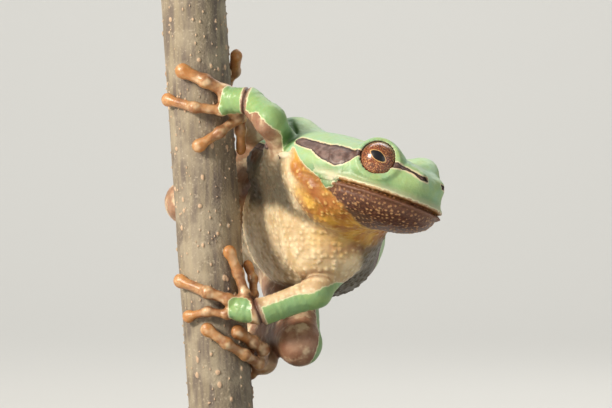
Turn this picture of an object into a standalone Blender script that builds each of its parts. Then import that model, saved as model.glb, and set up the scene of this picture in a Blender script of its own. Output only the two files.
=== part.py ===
"""European tree frog gripping a cut length of twig, life size, on a plain display stand.

Lengths are written in millimetres and turned into metres when a mesh is made. The frog is
drawn as blended round forms (a signed distance for each form), and each named part of the
body takes its share of them and becomes one closed surface.
The drawing's zero lies on the twig's axis plane; the origin of the finished part is the
middle of the base's underside.
"""

import math

import bmesh
import bpy
import numpy as np

MM = 0.001

# Drawing frame: X right, Y away from the viewer, Z up
BASE_CENTRE = np.array([-2.0, 2.0])
FLOOR_Z = -40.0

# Clearances and fineness
GAP = 0.3
EYE_GAP = 0.2
FINE_STEP = 0.3
COARSE_STEP = 0.42
SNAP = 0.08
REACH = 3.5
BLOCK = 6
BLOCK_MARGIN = 0.6

# Stand and perch
BASE_RADIUS = 28.0
BASE_THICKNESS = 4.0
BASE_EDGE = 0.8
ROD_RADIUS = 1.6
STEM_RADIUS = 3.67
STEM_X = -11.0
STEM_LEAN = -0.0686
STEM_TOP = 26.0
STEM_FOOT = -29.0

# Head: the point midway between the eyeballs, and the head's own directions
HEAD_CENTRE = np.array([10.0, -12.2, 3.5])
HEAD_FORWARD = np.array([0.765, -0.614, -0.2])
HEAD_UP = np.array([0.31, 0.078, 0.9475])
EYE_HALF_SPAN = 4.15
EYE_RADIUS = 2.05
LID_RADIUS = 2.65
LID_OPENING = 1.15
EYE_TURN = 60.0
EYE_RAISE = 0.2
MOUTH_Z = -3.2
MOUTH_CORNER = -3.0
MOUTH_SLIT = 0.6
MOUTH_DEPTH = 0.5
MOUTH_FALL = 0.012

# Trunk: middle, half length, half width and half depth of each stretch
TRUNK_FORWARD = np.array([0.45, -0.85, 0.25])
TRUNK_UP = np.array([0.65, 0.49, 0.52])
CHEST_CENTRE = np.array([2.8, -1.0, 0.0])
CHEST_RADII = (7.6, 7.0, 6.0)
SCAPULA_CENTRE = np.array([-1.1, -3.2, 5.4])
SCAPULA_RADII = (3.6, 3.6, 4.2)
BREAST_CENTRE = np.array([2.0, -2.0, -4.5])
BREAST_RADII = (4.5, 3.8, 4.5)
ARMPIT_CENTRE = np.array([-3.2, 2.5, 4.2])
ARMPIT_RADII = (3.4, 3.6, 3.4)
BELLY_CENTRE = np.array([0.9, 6.4, -2.5])
BELLY_RADII = (9.5, 8.4, 7.0)
PELVIS_CENTRE = np.array([-2.8, 14.5, -4.0])
PELVIS_RADII = (7.5, 5.6, 4.6)

# Joints of the limbs
R_SHOULDER = np.array([-1.2, -4.2, 4.4])
R_ELBOW = np.array([-3.9, -8.7, 9.1])
R_WRIST = np.array([-6.2, -5.3, 11.3])
L_SHOULDER = np.array([5.0, 0.6, -5.2])
L_ELBOW = np.array([1.1, -4.5, -9.7])
L_WRIST = np.array([-4.7, -4.8, -11.8])
R_HIP = np.array([-4.6, 17.0, -0.4])
R_KNEE = np.array([-13.5, 7.4, 0.2])
R_HEEL = np.array([-4.6, 15.0, 6.4])
R_SOLE = np.array([-10.4, 6.0, 12.6])
L_HIP = np.array([-2.2, 15.0, -7.6])
L_KNEE = np.array([-0.7, -0.4, -15.5])
L_HEEL = np.array([-6.0, 14.5, -14.0])
L_SOLE = np.array([-4.7, 3.0, -17.6])

# Thickness of limbs, as radii
UPPER_ARM = (1.7, 1.5)
FOREARM = (1.6, 1.45)
THIGH = (3.5, 2.3)
SHANK = (2.3, 1.8)
TARSUS = (1.6, 1.4)
PALM = 1.45
DIGIT = 0.68
DISC = 1.0

# Digits round the stem: angle in degrees (0 right, -90 to the viewer), height, distance out
R_HAND_PALM = (-48.0, 11.4, 1.6)
R_FINGERS = (
    ((-27.0, 9.6, 1.5), (-16.0, 8.2, 0.9), (-6.0, 6.2, 0.8)),
    ((-36.0, 9.4, 1.35), (-62.0, 7.9, 0.85), (-94.0, 6.4, 0.8)),
    ((-60.0, 10.3, 1.2), (-97.0, 10.6, 0.8), (-146.0, 11.5, 0.8)),
    ((-54.0, 12.4, 1.25), (-79.0, 13.5, 0.9), (-111.0, 14.6, 0.8)),
)
L_HAND_PALM = (-52.0, -11.6, 1.6)
L_FINGERS = (
    ((-27.0, -10.0, 1.4), (-12.0, -8.3, 1.0), (-12.0, -6.9, 0.8)),
    ((-44.0, -9.9, 1.3), (-47.0, -7.6, 0.85), (-58.0, -5.3, 0.8)),
    ((-68.0, -10.5, 1.2), (-96.0, -9.7, 0.85), (-145.0, -8.5, 0.8)),
    ((-72.0, -12.1, 1.1), (-98.0, -11.8, 0.8), (-132.0, -12.4, 0.8)),
)
L_FOOT_SOLE = (30.0, -17.6, 1.65)
L_TOES = (
    ((-12.0, -16.1, 1.6), (-30.0, -15.2, 1.1), (-55.0, -14.1, 0.9)),
    ((-10.0, -17.7, 1.0), (-45.0, -16.6, 0.8), (-74.0, -15.3, 0.8), (-100.0, -13.8, 0.9)),
    ((45.0, -15.6, 0.9), (85.0, -14.4, 0.8), (118.0, -13.8, 0.9)),
    ((52.0, -17.9, 0.9), (90.0, -17.6, 0.8), (132.0, -17.2, 0.9)),
    ((40.0, -19.0, 0.9), (72.0, -19.8, 0.8), (106.0, -20.2, 0.9)),
)
R_FOOT_SOLE = (76.0, 12.8, 1.65)
R_TOES = (
    ((50.0, 13.6, 0.9), (26.0, 14.8, 0.8), (5.0, 16.4, 0.9)),
    ((70.0, 15.0, 0.9), (58.0, 17.2, 0.8), (48.0, 19.4, 0.9)),
    ((86.0, 15.0, 0.9), (96.0, 18.0, 0.8), (104.0, 20.6, 0.9)),
    ((98.0, 12.8, 0.9), (116.0, 13.6, 0.8), (134.0, 14.6, 0.9)),
    ((82.0, 10.6, 0.9), (100.0, 9.2, 0.8), (118.0, 7.8, 0.9)),
)

# Triangles wanted in each flesh part
TRIANGLES = {
    "head": 2600, "torso": 1700, "eye_right": 220, "eye_left": 220,
    "upper_arm_right": 300, "upper_arm_left": 300, "forearm_right": 340, "forearm_left": 340,
    "hand_right": 950, "hand_left": 950, "thigh_right": 420, "thigh_left": 420,
    "shank_right": 380, "shank_left": 380, "tarsus_right": 220, "tarsus_left": 220,
    "foot_right": 1050, "foot_left": 1050,
}

# Colours of the surfaces: red, green, blue, then roughness and metallic
SURFACES = {
    "green_skin": ((0.30, 0.52, 0.22), 0.45, 0.0),
    "pale_skin": ((0.74, 0.62, 0.42), 0.5, 0.0),
    "digit_skin": ((0.62, 0.34, 0.16), 0.4, 0.0),
    "eye": ((0.42, 0.17, 0.06), 0.08, 0.0),
    "bark": ((0.42, 0.36, 0.29), 0.85, 0.0),
    "stand_metal": ((0.05, 0.05, 0.055), 0.45, 0.6),
}


def unit(vector):
    """The vector at length one."""
    return vector / np.linalg.norm(vector)


def axes(forward, up):
    """Right-handed rows forward, left, up, square to each other."""
    x = unit(np.asarray(forward, float))
    y = unit(np.cross(up, x))
    return np.array([x, y, np.cross(x, y)])


HEAD_AXES = axes(HEAD_FORWARD, HEAD_UP)
TRUNK_AXES = axes(TRUNK_FORWARD, TRUNK_UP)
IDENTITY = np.eye(3)


def on_head(x, y, z):
    """A point given forward, left and up from midway between the eyes."""
    return HEAD_CENTRE + np.array([x, y, z]) @ HEAD_AXES


def stem_axis(z):
    """The middle of the stem at a height."""
    return np.array([STEM_X + STEM_LEAN * z, 0.0, z])


def round_stem(angle, z, out):
    """A point beside the stem: angle round it, height, and distance from its bark."""
    a = math.radians(angle)
    r = STEM_RADIUS + out
    return stem_axis(z) + r * np.array([math.cos(a), math.sin(a), 0.0])


class Form:
    """A solid as a distance function, with the box that it fills."""

    def __init__(self, measure, low, high):
        self.measure = measure
        self.low = np.asarray(low, float)
        self.high = np.asarray(high, float)

    def distance(self, p):
        """Distances, worked out only where the form is near."""
        near = np.all((p > self.low - REACH) & (p < self.high + REACH), axis=1)
        found = np.full(len(p), REACH)
        if near.any():
            found[near] = self.measure(p[near])
        return found


def ellipsoid(centre, radii, rows=IDENTITY):
    """An ellipsoid whose radii run along the given directions."""
    centre = np.asarray(centre, float)
    radii = np.asarray(radii, float)

    def distance(p):
        q = (p - centre) @ rows.T
        k0 = np.linalg.norm(q / radii, axis=1)
        k1 = np.linalg.norm(q / radii ** 2, axis=1)
        return k0 * (k0 - 1.0) / np.maximum(k1, 1e-6)

    reach = np.sqrt(((rows * radii[:, None]) ** 2).sum(axis=0))
    return Form(distance, centre - reach, centre + reach)


def cone(a, b, ra, rb):
    """A rod with round ends that swells or narrows from one end to the other."""
    a = np.asarray(a, float)
    b = np.asarray(b, float)
    along = b - a
    length2 = float(along @ along)

    def distance(p):
        t = np.clip((p - a) @ along / length2, 0.0, 1.0)
        nearest = a + t[:, None] * along
        return np.linalg.norm(p - nearest, axis=1) - (ra + (rb - ra) * t)

    r = max(ra, rb)
    return Form(distance, np.minimum(a, b) - r, np.maximum(a, b) + r)


def half_space(point, outward):
    """The solid behind a plane: positive on the side that outward points to."""
    point = np.asarray(point, float)
    outward = unit(np.asarray(outward, float))
    return Form(lambda p: (p - point) @ outward, [-1e3] * 3, [1e3] * 3)


def blend(forms, soft):
    """Forms joined with a soft fillet."""
    def distance(p):
        d = forms[0].distance(p)
        for form in forms[1:]:
            e = form.distance(p)
            h = np.clip(0.5 + 0.5 * (e - d) / soft, 0.0, 1.0)
            d = e + (d - e) * h - soft * h * (1.0 - h)
        return d

    low = np.min([f.low for f in forms], axis=0) - 0.3 * soft
    high = np.max([f.high for f in forms], axis=0) + 0.3 * soft
    return Form(distance, low, high)


def inside(form, limit, shift=0.0):
    """What of the form lies in the limit, which is first shrunk by the shift."""
    def distance(p):
        return np.maximum(form.distance(p), limit.distance(p) + shift)

    return Form(distance, np.maximum(form.low, limit.low), np.minimum(form.high, limit.high))


def clear_of(form, others, gap=GAP):
    """The form kept a gap away from the others."""
    near = [o for o in others if np.all(o.low < form.high + 1.0) and np.all(o.high > form.low - 1.0)]

    def distance(p):
        d = form.distance(p)
        for other in near:
            d = np.maximum(d, gap - other.distance(p))
        return d

    return Form(distance, form.low, form.high)


def chain(points, radii, soft):
    """Rods in a row, one joint after another, as separate forms."""
    pairs = zip(points[:-1], points[1:], radii[:-1], radii[1:])
    return blend([cone(a, b, ra, rb) for a, b, ra, rb in pairs], soft)


def eye_axis(side):
    """Where an eye looks: side is 1 for the left and -1 for the right."""
    turn = math.radians(EYE_TURN)
    return unit(np.array([math.cos(turn), side * math.sin(turn), EYE_RAISE]) @ HEAD_AXES)


def eye_centre(side):
    """The middle of an eyeball."""
    return on_head(0.0, side * EYE_HALF_SPAN, 0.0)


def eyeball(side):
    """One eyeball."""
    return ellipsoid(eye_centre(side), (EYE_RADIUS,) * 3)


def with_mouth(mass):
    """The head with the line of the mouth cut into it, corner to corner."""
    def distance(p):
        d = mass.distance(p)
        q = (p - HEAD_CENTRE) @ HEAD_AXES.T
        middle = MOUTH_Z - MOUTH_FALL * (q[:, 0] - MOUTH_CORNER)
        slit = np.maximum(np.abs(q[:, 2] - middle) - MOUTH_SLIT / 2, MOUTH_CORNER - q[:, 0])
        return np.maximum(d, -np.maximum(slit, -(d + MOUTH_DEPTH)))

    return Form(distance, mass.low, mass.high)


def skull():
    """The head's mass: braincase, cheeks, snout, jaws, ridges and lids."""
    parts = [
        ellipsoid(on_head(-4.0, 0, -1.4), (7.4, 6.6, 3.4), HEAD_AXES),
        ellipsoid(on_head(1.6, 0, -1.7), (3.7, 4.2, 2.65), HEAD_AXES),
        ellipsoid(on_head(-1.0, 0, -2.9), (6.3, 6.3, 1.5), HEAD_AXES),
        ellipsoid(on_head(-2.4, 0, -4.2), (6.4, 5.9, 2.2), HEAD_AXES),
        ellipsoid(on_head(-1.9, 0, -4.6), (6.6, 5.2, 1.8), HEAD_AXES),
        ellipsoid(on_head(-1.4, 0, -4.0), (6.3, 5.7, 0.9), HEAD_AXES),
        ellipsoid(on_head(-1.25, 0, -3.5), (6.2, 6.05, 0.5), HEAD_AXES),
    ]
    for side in (1, -1):
        front = on_head(4.15, side * 1.7, -0.55)
        parts.append(cone(on_head(1.2, side * 3.3, 0.5), front, 0.9, 0.75))
        lid = ellipsoid(eye_centre(side), (LID_RADIUS,) * 3)
        rim = half_space(eye_centre(side) + LID_OPENING * eye_axis(side), eye_axis(side))
        parts.append(inside(lid, rim))
    nostrils = [ellipsoid(on_head(4.85, side * 1.7, -0.32), (0.42,) * 3) for side in (1, -1)]
    return clear_of(with_mouth(blend(parts, 1.1)), nostrils, gap=0.0)


def trunk_forms():
    """Chest, shoulder blades, breast, armpit, belly, pelvis, throat and nape."""
    return [
        ellipsoid(CHEST_CENTRE, CHEST_RADII, TRUNK_AXES),
        ellipsoid(SCAPULA_CENTRE, SCAPULA_RADII),
        ellipsoid(BREAST_CENTRE, BREAST_RADII),
        ellipsoid(ARMPIT_CENTRE, ARMPIT_RADII),
        ellipsoid(BELLY_CENTRE, BELLY_RADII, TRUNK_AXES),
        ellipsoid(PELVIS_CENTRE, PELVIS_RADII, TRUNK_AXES),
        ellipsoid(on_head(-6.2, 0, -4.2), (4.6, 5.4, 3.6), HEAD_AXES),
        ellipsoid(on_head(-8.0, 0, -1.8), (6.5, 6.1, 4.1), HEAD_AXES),
    ]


def joint_plane(before, joint, after):
    """The plane that halves the bend at a joint, facing along the limb."""
    return half_space(joint, unit(unit(joint - before) + unit(after - joint)))


def limb(joints, radii, names, raw, root_forms, tip):
    """Parts of one limb from the body outward, each cut clear of all that came before."""
    rods = [cone(a, b, ra, rb) for a, b, (ra, rb) in zip(joints[:-1], joints[1:], radii)]
    rods.append(tip)
    parts = {}
    for i, name in enumerate(names):
        near = rods[max(0, i - 1):i + 2]
        form = blend(near, 1.0)
        if i:
            form = inside(form, flip(joint_plane(joints[i - 1], joints[i], beyond(joints, i))))
        if i < len(names) - 1:
            form = inside(form, joint_plane(joints[i], joints[i + 1], beyond(joints, i + 1)))
        parts[name] = clear_of(form, root_forms + list(raw.values()))
        raw[name] = form
    return parts


def beyond(joints, i):
    """The joint after the given one, or a point straight on past the last."""
    if i + 1 < len(joints):
        return joints[i + 1]
    return joints[i] + (joints[i] - joints[i - 1])


def flip(plane):
    """The other side of a plane."""
    return Form(lambda p: -plane.distance(p), plane.low, plane.high)


def grip(root, palm, digits, palm_radius):
    """A hand or foot: palm and digits that wrap the stem, each ending in a round disc."""
    parts = [cone(root, palm, palm_radius * 0.92, palm_radius)]
    for digit in digits:
        points = [palm] + [round_stem(*stop) for stop in digit]
        radii = [DIGIT * 1.25] + [DIGIT] * (len(points) - 2) + [DIGIT * 0.95]
        parts.append(chain(points, radii, 0.3))
        parts.append(ellipsoid(points[-1], (DISC,) * 3))
    return blend(parts, 0.45)


def flesh():
    """Every part of the frog's body, by name."""
    stem = cone(stem_axis(STEM_FOOT - 9.0), stem_axis(STEM_TOP + 9.0), STEM_RADIUS, STEM_RADIUS)
    eyes = {"eye_right": eyeball(-1), "eye_left": eyeball(1)}
    neck = half_space(on_head(-8.2, 0.0, -2.0), HEAD_AXES[0] + 0.3 * HEAD_AXES[2])
    head = inside(skull(), flip(neck))
    torso = blend(trunk_forms(), 2.2)
    raw = {"head": head, "torso": torso}
    parts = {
        "head": clear_of(head, list(eyes.values()), EYE_GAP),
        "torso": clear_of(torso, [head, stem]),
    }
    arms = (
        ("right", (R_SHOULDER, R_ELBOW, R_WRIST), round_stem(*R_HAND_PALM), R_FINGERS),
        ("left", (L_SHOULDER, L_ELBOW, L_WRIST), round_stem(*L_HAND_PALM), L_FINGERS),
    )
    legs = (
        ("right", (R_HIP, R_KNEE, R_HEEL, R_SOLE), round_stem(*R_FOOT_SOLE), R_TOES),
        ("left", (L_HIP, L_KNEE, L_HEEL, L_SOLE), round_stem(*L_FOOT_SOLE), L_TOES),
    )
    for side, joints, palm, digits in arms:
        names = [f"{part}_{side}" for part in ("upper_arm", "forearm", "hand")]
        tip = grip(joints[-1], palm, digits, PALM)
        parts.update(limb(joints, (UPPER_ARM, FOREARM), names, raw, [stem], tip))
    for side, joints, sole, digits in legs:
        names = [f"{part}_{side}" for part in ("thigh", "shank", "tarsus", "foot")]
        tip = grip(joints[-1], sole, digits, PALM)
        parts.update(limb(joints, (THIGH, SHANK, TARSUS), names, raw, [stem], tip))
    parts.update(eyes)
    return parts


# Six ways to split a cube of corners into tetrahedra along its long diagonal
CORNERS = np.array([[x, y, z] for x in (0, 1) for y in (0, 1) for z in (0, 1)])
TETRAHEDRA = ((0, 1, 3, 7), (0, 3, 2, 7), (0, 2, 6, 7), (0, 6, 4, 7), (0, 4, 5, 7), (0, 5, 1, 7))


def sample(form, low, counts, step):
    """The form's distance at every grid point: full only in the blocks near its surface."""
    blocks = (counts + BLOCK - 1) // BLOCK
    middles = np.stack(np.meshgrid(*[np.arange(n) for n in blocks], indexing="ij"), axis=-1)
    middles = middles.reshape(-1, 3)
    rough = form.distance((middles + 0.5) * (BLOCK * step) + low)
    values = np.repeat(np.repeat(np.repeat(rough.reshape(blocks), BLOCK, 0), BLOCK, 1), BLOCK, 2)
    near = middles[np.abs(rough) < BLOCK * step + BLOCK_MARGIN]
    local = np.stack(np.meshgrid(*[np.arange(BLOCK)] * 3, indexing="ij"), axis=-1).reshape(-1, 3)
    cells = (near[:, None, :] * BLOCK + local[None, :, :]).reshape(-1, 3)
    values[tuple(cells.T)] = form.distance(cells * step + low)
    return values[:counts[0], :counts[1], :counts[2]]


def surface(form, step):
    """Points and triangles of a form's surface, closed and facing out."""
    low = form.low - 2 * step
    counts = np.ceil((form.high + 2 * step - low) / step).astype(int) + 1
    values = sample(form, low, counts, step).reshape(-1)
    grid = np.stack(np.meshgrid(*[np.arange(n) for n in counts], indexing="ij"), axis=-1)
    points = grid.reshape(-1, 3) * step + low
    values[np.abs(values) < 1e-6] = 1e-6
    solid = (values < 0).reshape(counts)
    strides = np.array([counts[1] * counts[2], counts[2], 1])
    found = sum(solid[x:counts[0] - 1 + x, y:counts[1] - 1 + y, z:counts[2] - 1 + z].astype(int)
                for x, y, z in CORNERS)
    cells = np.argwhere((found > 0) & (found < 8))
    corner_ids = (cells @ strides)[:, None] + (CORNERS @ strides)[None, :]
    edges = []
    anchors = []
    for tetrahedron in TETRAHEDRA:
        ids = corner_ids[:, tetrahedron]
        below = values[ids] < 0
        order = np.argsort(~below, axis=1, kind="stable")
        ids = np.take_along_axis(ids, order, axis=1)
        number = below.sum(axis=1)
        for total, triangles in (
            (1, (((0, 1), (0, 2), (0, 3)),)),
            (2, (((0, 2), (0, 3), (1, 3)), ((0, 2), (1, 3), (1, 2)))),
            (3, (((0, 3), (1, 3), (2, 3)),)),
        ):
            some = ids[number == total]
            for triangle in triangles:
                edges.append(np.stack([some[:, list(pair)] for pair in triangle], axis=1))
                anchors.append(some[:, 0])
    edges = np.concatenate(edges)
    anchors = np.concatenate(anchors)
    keys = edges.reshape(-1, 2)
    unique, index = np.unique(np.sort(keys, axis=1), axis=0, return_inverse=True)
    a, b = unique[:, 0], unique[:, 1]
    t = np.clip(values[a] / (values[a] - values[b]), SNAP, 1 - SNAP)[:, None]
    vertices = points[a] + t * (points[b] - points[a])
    faces = index.reshape(-1, 3)
    corners = vertices[faces]
    normals = np.cross(corners[:, 1] - corners[:, 0], corners[:, 2] - corners[:, 0])
    outward = ((corners.mean(axis=1) - points[anchors]) * normals).sum(axis=1) > 0
    faces[~outward] = faces[~outward][:, ::-1]
    return vertices, faces


def largest_shell(vertices, faces):
    """The biggest connected piece of a surface."""
    labels = np.arange(len(vertices))
    while True:
        lowest = labels[faces].min(axis=1)
        update = labels.copy()
        for k in range(3):
            np.minimum.at(update, faces[:, k], lowest)
        update = update[update]
        if np.array_equal(update, labels):
            break
        labels = update
    names, sizes = np.unique(labels[faces[:, 0]], return_counts=True)
    faces = faces[labels[faces[:, 0]] == names[sizes.argmax()]]
    used, index = np.unique(faces, return_inverse=True)
    return vertices[used], index.reshape(-1, 3)


def to_world(points):
    """Drawing millimetres to metres from the middle of the base's underside."""
    shifted = np.asarray(points, float) - np.array([*BASE_CENTRE, FLOOR_Z])
    return shifted * MM


def material(name):
    """The finish of one surface."""
    found = bpy.data.materials.get(name)
    if found:
        return found
    colour, roughness, metallic = SURFACES[name]
    new = bpy.data.materials.new(name)
    new.use_nodes = True
    shader = new.node_tree.nodes["Principled BSDF"]
    shader.inputs["Base Color"].default_value = (*colour, 1.0)
    shader.inputs["Roughness"].default_value = roughness
    shader.inputs["Metallic"].default_value = metallic
    return new


def put(name, mesh, surface_name, root):
    """Place a mesh in the scene under the root, with its finish."""
    thing = bpy.data.objects.new(name, mesh)
    bpy.context.scene.collection.objects.link(thing)
    mesh.materials.append(material(surface_name))
    mesh.shade_smooth()
    mesh.set_sharp_from_angle(angle=math.radians(40))
    thing.parent = root
    return thing


def flesh_mesh(name, form):
    """One part of the body as a mesh thinned to its share of triangles."""
    step = COARSE_STEP if name.startswith(("torso", "thigh", "shank")) else FINE_STEP
    vertices, faces = largest_shell(*surface(form, step))
    mesh = bpy.data.meshes.new(name)
    mesh.from_pydata(to_world(vertices).tolist(), [], faces.tolist())
    return mesh, min(1.0, TRIANGLES[name] / len(faces))


def add_flesh(root):
    """The whole frog, part by part."""
    finish = {"torso": "pale_skin", "eye": "eye", "hand": "digit_skin", "foot": "digit_skin"}
    for name, form in flesh().items():
        mesh, ratio = flesh_mesh(name, form)
        thing = put(name, mesh, finish.get(name.split("_")[0], "green_skin"), root)
        thin = thing.modifiers.new("thin out", "DECIMATE")
        thin.ratio = ratio


def turned(name, profile, sides, surface_name, root, place, lean=0.0):
    """A closed round body from radius and height pairs, bottom to top."""
    bm = bmesh.new()
    rings = []
    for radius, height in profile:
        ring = []
        for i in range(sides):
            a = 2 * math.pi * i / sides
            x = radius * math.cos(a) + lean * height
            ring.append(bm.verts.new((x * MM, radius * math.sin(a) * MM, height * MM)))
        rings.append(ring)
    for lower, upper in zip(rings[:-1], rings[1:]):
        for i in range(sides):
            j = (i + 1) % sides
            bm.faces.new((lower[i], lower[j], upper[j], upper[i]))
    bm.faces.new(rings[0][::-1])
    bm.faces.new(rings[-1])
    mesh = bpy.data.meshes.new(name)
    bm.to_mesh(mesh)
    bm.free()
    thing = put(name, mesh, surface_name, root)
    thing.location = to_world(place)
    return thing


def add_stand(root):
    """The round base and the rod under the cut stem."""
    top = BASE_THICKNESS
    profile = [(BASE_RADIUS - BASE_EDGE, 0.0), (BASE_RADIUS, BASE_EDGE),
               (BASE_RADIUS, top - BASE_EDGE), (BASE_RADIUS - BASE_EDGE, top)]
    turned("stand_base", profile, 48, "stand_metal", root, (*BASE_CENTRE, FLOOR_Z))
    foot = FLOOR_Z + BASE_THICKNESS + GAP
    height = STEM_FOOT - GAP - foot
    place = (stem_axis(STEM_FOOT)[0], 0.0, foot)
    turned("stand_rod", [(ROD_RADIUS, 0.0), (ROD_RADIUS, height)], 20, "stand_metal", root, place)


def add_stem(root):
    """The cut length of twig, with slight swellings."""
    height = STEM_TOP - STEM_FOOT
    rings = 15
    profile = []
    for i in range(rings):
        t = i / (rings - 1)
        swell = 0.06 * math.sin(9.0 * t) - 0.05
        profile.append((STEM_RADIUS + swell, t * height))
    turned("perch_stem", profile, 24, "bark", root, stem_axis(STEM_FOOT), STEM_LEAN)


def main():
    """Clear the scene and build the whole part."""
    for thing in list(bpy.data.objects):
        bpy.data.objects.remove(thing, do_unlink=True)
    root = bpy.data.objects.new("tree_frog_on_stem", None)
    bpy.context.scene.collection.objects.link(root)
    add_flesh(root)
    add_stem(root)
    add_stand(root)


main()
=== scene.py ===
"""The looks of the tree frog on its twig: one skin, wet eyes, bark, stand, light and camera.

Places are worked out in the drawing's millimetres (X right, Y away from the viewer, Z up,
zero on the twig's axis plane) and turned into the frame's metres when a mesh is made.
"""

import itertools
import math

import bmesh
import bpy
import numpy as np
from mathutils import Matrix, Vector


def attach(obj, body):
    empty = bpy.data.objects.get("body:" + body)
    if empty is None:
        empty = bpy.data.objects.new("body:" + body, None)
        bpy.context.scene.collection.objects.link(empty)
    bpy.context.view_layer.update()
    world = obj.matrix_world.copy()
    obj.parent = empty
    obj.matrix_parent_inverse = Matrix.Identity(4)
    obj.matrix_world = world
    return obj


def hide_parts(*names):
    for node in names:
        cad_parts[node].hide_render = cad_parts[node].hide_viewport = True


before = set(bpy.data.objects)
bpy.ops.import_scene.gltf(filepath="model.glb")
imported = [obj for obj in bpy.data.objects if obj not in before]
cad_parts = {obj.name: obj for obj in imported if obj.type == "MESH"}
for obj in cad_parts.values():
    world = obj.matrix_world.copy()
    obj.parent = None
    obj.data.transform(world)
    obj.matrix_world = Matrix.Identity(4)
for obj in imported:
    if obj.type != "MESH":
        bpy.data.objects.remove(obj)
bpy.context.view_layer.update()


def at(x, y, z):
    """A place or a direction as an array."""
    return np.array([x, y, z])


def unit(vector):
    """The vector at length one."""
    return vector / np.linalg.norm(vector)


MM = 0.001
BASE_CENTRE = (-2.0, 2.0)
FLOOR_Z = -40.0

# The skin's grid: its step in millimetres, and blocks of cells sampled together
SKIN_STEP = 0.15
BLOCK = 8
BLOCK_MARGIN = 0.7
BLOCKS_AT_ONCE = 1500
HALF_DIAGONAL = 0.87
REACH = 3.5

# Twig
STEM_RADIUS = 3.67
STEM_X = -11.0
STEM_LEAN = -0.0686
STEM_TOP = 26.0
STEM_FOOT = -29.0
BARK_GAP = 0.06

# Head: the point midway between the eyeballs, and the head's own directions. Its masses are
# given there, as their middle and their radii forward, left and up.
HEAD_CENTRE = at(10.0, -12.2, 3.5)
HEAD_FORWARD = at(0.765, -0.614, -0.2)
HEAD_UP = at(0.31, 0.078, 0.9475)
EYE_HALF_SPAN = 4.15
EYE_RADIUS = 2.15
LID_RADIUS = 2.55
LID_OPENING = 1.12
LID_EDGE = 0.05
EYE_TURN = 60.0
EYE_RAISE = 0.2
MOUTH_Z = -3.2
MOUTH_CORNER = -3.0
MOUTH_FALL = 0.012
MOUTH_WIDTH = 0.15
MOUTH_DEPTH = 0.34
HEAD_MASSES = (
    ((-4.0, 0.0, -1.4), (7.4, 6.6, 3.4)),
    ((1.6, 0.0, -1.7), (3.7, 4.2, 2.65)),
    ((-1.0, 0.0, -2.9), (6.3, 6.3, 1.5)),
    ((-2.4, 0.0, -4.2), (6.4, 5.9, 2.2)),
    ((-1.9, 0.0, -4.6), (6.6, 5.2, 1.8)),
    ((-1.4, 0.0, -4.0), (6.3, 5.7, 0.9)),
    ((-1.25, 0.0, -3.5), (6.2, 6.05, 0.5)),
)
NAPE_MASSES = (
    ((-6.2, 0.0, -4.2), (4.6, 5.4, 3.6)),
    ((-8.0, 0.0, -1.8), (6.5, 6.1, 4.1)),
)
SNOUT_RIDGE = ((1.2, 3.3, 0.5), (4.15, 1.7, -0.55), (0.9, 0.75))
NOSTRIL = ((4.85, 1.7, -0.32), (0.36, 0.36, 0.26))
SOCKET_GAP = 0.04

# Trunk: its own directions, and each mass as its middle and radii
TRUNK_FORWARD = at(0.45, -0.85, 0.25)
TRUNK_UP = at(0.65, 0.49, 0.52)
CHEST = (at(2.8, -1.0, 0.0), (7.6, 7.0, 6.0))
BELLY = (at(0.9, 6.4, -2.5), (9.5, 8.4, 7.0))
PELVIS = (at(-2.8, 14.5, -4.0), (7.5, 5.6, 4.6))
SCAPULA = (at(-1.1, -3.2, 5.4), (3.6, 3.6, 4.2))
BREAST = (at(2.0, -2.0, -4.5), (4.5, 3.8, 4.5))
ARMPIT = (at(-3.2, 2.5, 4.2), (3.4, 3.6, 3.4))

# Soft fillets where forms join, in millimetres
HEAD_FILLET = 1.0
TRUNK_FILLET = 2.2
NECK_FILLET = 1.1
LIMB_FILLET = 0.9
WRIST_FILLET = 0.6
GRIP_FILLET = 0.4
ROOT_FILLET = 0.3
ROOT_SWELL = 1.3
ROOT_REACH = 3.5

# Joints of the limbs
R_SHOULDER = at(-1.2, -4.2, 4.4)
R_ELBOW = at(-3.9, -8.7, 9.1)
R_WRIST = at(-6.2, -5.3, 11.3)
L_SHOULDER = at(5.0, 0.6, -5.2)
L_ELBOW = at(1.1, -4.5, -9.7)
L_WRIST = at(-4.7, -4.8, -11.8)
R_HIP = at(-4.6, 17.0, -0.4)
R_KNEE = at(-13.5, 7.4, 0.2)
R_HEEL = at(-4.6, 15.0, 6.4)
R_SOLE = at(-10.4, 6.0, 12.6)
L_HIP = at(-2.2, 15.0, -7.6)
L_KNEE = at(-0.7, -0.4, -15.5)
L_HEEL = at(-6.0, 14.5, -14.0)
L_SOLE = at(-4.7, 3.0, -17.6)

# Thickness of limbs, as radii
UPPER_ARM = (1.7, 1.5)
FOREARM = (1.6, 1.45)
THIGH = (3.5, 2.3)
SHANK = (2.3, 1.8)
TARSUS = (1.6, 1.4)
PALM = 1.45
DIGIT_ROOT = 0.95
KNUCKLE = 0.03
DISC = (0.78, 0.76, 0.5)
WEB = 0.27

# Wrists: a sharp crease across each, at a place and in the direction of the hand
WRIST_CREASE = 0.38
WRIST_REACH = 2.2
CREASE_WIDTH = 0.17
WRISTS = {
    "arm_right": (at(-6.4, -5.3, 11.3), unit(at(-0.95, 0.25, 0.1))),
    "arm_left": (at(-5.2, -4.8, -12.0), unit(at(-0.94, -0.05, -0.34))),
}

# A whitish fold at the armpit and a green strip on the nape, both seen from the front
FLAP_CENTRE = (-2.2, 5.3)
FLAP_RADII = (0.75, 0.32)
NAPE_STRIP = (at(-1.3, 0.0, 7.3), at(-2.1, 0.0, 5.8))
STRIP_WIDTH = 0.45

# Creases in the skin: from, to, depth and half width; painted shade also darkens the skin along them
CREASES = (
    (at(-1.7, -4.8, 9.2), at(-1.0, -6.9, 7.2), 0.35, 0.3),
    (at(-1.9, -5.5, -0.1), at(-1.4, -5.2, -1.6), 0.25, 0.35),
)

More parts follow.
